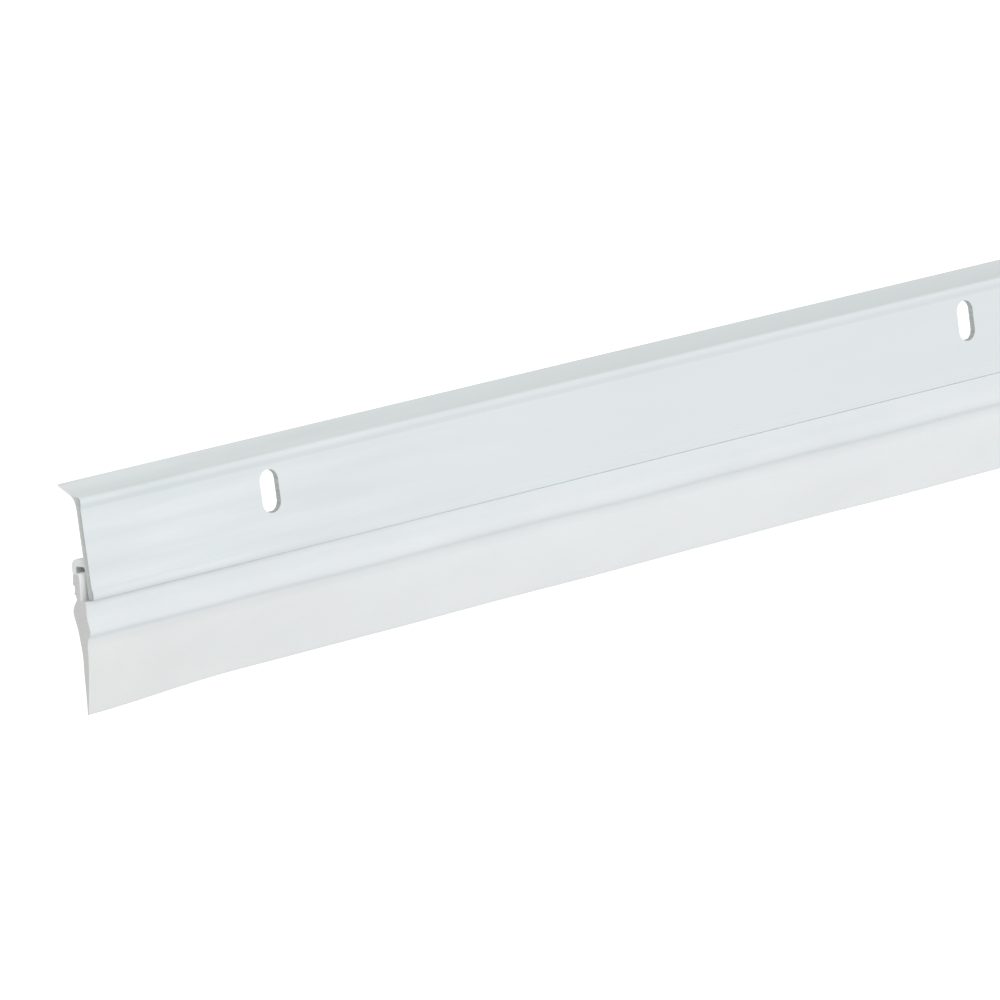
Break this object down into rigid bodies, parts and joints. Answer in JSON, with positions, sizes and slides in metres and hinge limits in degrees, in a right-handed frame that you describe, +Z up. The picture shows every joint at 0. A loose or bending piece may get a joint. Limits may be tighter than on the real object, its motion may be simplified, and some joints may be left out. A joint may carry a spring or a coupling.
{
  "type": "door sweep",
  "caption": "White painted aluminium door sweep with upright screw slots, a sloping top lip and a slide-in vinyl insert with a flexible tapering fin.",
  "frame": {"origin": "centre of the middle screw slot, on the front face of the plate", "axes": "+X along the sweep, +Y toward the door it is screwed to, +Z up with the fin hanging down"},
  "size_m": [0.9144, 0.0095, 0.0495],
  "materials": {
    "carrier_paint": "satin white paint on extruded aluminium, bare grey metal at the sawn ends and slot walls",
    "vinyl": "semi-matte white vinyl, one extrusion, faintly wavy along the thin fin"
  },
  "bodies": {
    "carrier": {"carrier": "carrier_paint"},
    "insert": {"insert": "vinyl"},
    "fin": {"fin": "vinyl"}
  },
  "joints": [
    {"name": "insert_slide", "type": "slide", "parent": "carrier", "child": "insert", "axis": [-1, 0, 0], "range_m": [-0.9, 0.9]},
    {"name": "fin_flex", "type": "hinge", "parent": "insert", "child": "fin", "pos_m": [0, 0.00335, -0.0222], "axis": [1, 0, 0], "range_deg": [-30, 35], "stiffness_Nm_per_rad": 0.6}
  ]
}
